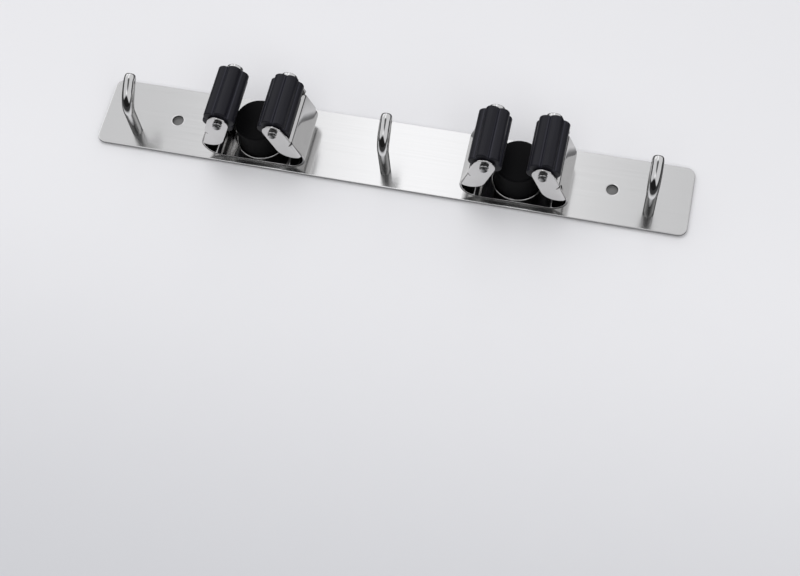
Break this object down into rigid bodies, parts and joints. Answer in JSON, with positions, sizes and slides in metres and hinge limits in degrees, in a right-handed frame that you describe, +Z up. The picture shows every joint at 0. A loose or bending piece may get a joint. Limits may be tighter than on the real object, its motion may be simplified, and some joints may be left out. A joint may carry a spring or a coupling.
{
  "type": "wall mop holder rack",
  "caption": "Flat steel wall strip with bent-rod hooks and spring clips whose rubber rollers grip mop and broom handles against a rubber bumper.",
  "frame": {"origin": "middle of the plate's back face, on the wall", "axes": "+X along the strip to the right as seen from the front, +Y into the wall, +Z up the wall"},
  "size_m": [0.275, 0.0383, 0.0361],
  "materials": {
    "plate": "brushed along its length",
    "hooks": "polished",
    "spring_sheet": "polished",
    "axle": "polished",
    "rivets": "plain",
    "roller": "satin",
    "bumper": "satin"
  },
  "bodies": {
    "rack": {"back_plate": "plate", "hook_left": "hooks", "hook_centre": "hooks", "hook_right": "hooks", "left_clip_seat": "spring_sheet", "left_clip_bumper": "bumper", "left_clip_rivets": "rivets", "right_clip_seat": "spring_sheet", "right_clip_bumper": "bumper", "right_clip_rivets": "rivets"},
    "left_clip_left_arm": {"left_clip_arm_left": "spring_sheet", "left_clip_axle_left": "axle"},
    "left_clip_left_roller": {"left_clip_roller_left": "roller"},
    "left_clip_right_arm": {"left_clip_arm_right": "spring_sheet", "left_clip_axle_right": "axle"},
    "left_clip_right_roller": {"left_clip_roller_right": "roller"},
    "right_clip_left_arm": {"right_clip_arm_left": "spring_sheet", "right_clip_axle_left": "axle"},
    "right_clip_left_roller": {"right_clip_roller_left": "roller"},
    "right_clip_right_arm": {"right_clip_arm_right": "spring_sheet", "right_clip_axle_right": "axle"},
    "right_clip_right_roller": {"right_clip_roller_right": "roller"}
  },
  "joints": [
    {"name": "left_clip_left_arm_flex", "type": "hinge", "parent": "rack", "child": "left_clip_left_arm", "pos_m": [-0.0827, -0.00488, -0.0024], "axis": [0, 0, -1], "range_deg": [0, 16], "stiffness_Nm_per_rad": 1.4},
    {"name": "left_clip_left_roller_spin", "type": "hinge", "parent": "left_clip_left_arm", "child": "left_clip_left_roller", "pos_m": [-0.07273, -0.0309, -0.0024], "axis": [0, 0, 1], "continuous": true},
    {"name": "left_clip_right_arm_flex", "type": "hinge", "parent": "rack", "child": "left_clip_right_arm", "pos_m": [-0.0373, -0.00488, -0.0024], "axis": [0, 0, 1], "range_deg": [0, 16], "stiffness_Nm_per_rad": 1.4},
    {"name": "left_clip_right_roller_spin", "type": "hinge", "parent": "left_clip_right_arm", "child": "left_clip_right_roller", "pos_m": [-0.04727, -0.0309, -0.0024], "axis": [0, 0, 1], "continuous": true},
    {"name": "right_clip_left_arm_flex", "type": "hinge", "parent": "rack", "child": "right_clip_left_arm", "pos_m": [0.0373, -0.00488, -0.0024], "axis": [0, 0, -1], "range_deg": [0, 16], "stiffness_Nm_per_rad": 1.4},
    {"name": "right_clip_left_roller_spin", "type": "hinge", "parent": "right_clip_left_arm", "child": "right_clip_left_roller", "pos_m": [0.04727, -0.0309, -0.0024], "axis": [0, 0, 1], "continuous": true},
    {"name": "right_clip_right_arm_flex", "type": "hinge", "parent": "rack", "child": "right_clip_right_arm", "pos_m": [0.0827, -0.00488, -0.0024], "axis": [0, 0, 1], "range_deg": [0, 16], "stiffness_Nm_per_rad": 1.4},
    {"name": "right_clip_right_roller_spin", "type": "hinge", "parent": "right_clip_right_arm", "child": "right_clip_right_roller", "pos_m": [0.07273, -0.0309, -0.0024], "axis": [0, 0, 1], "continuous": true}
  ]
}
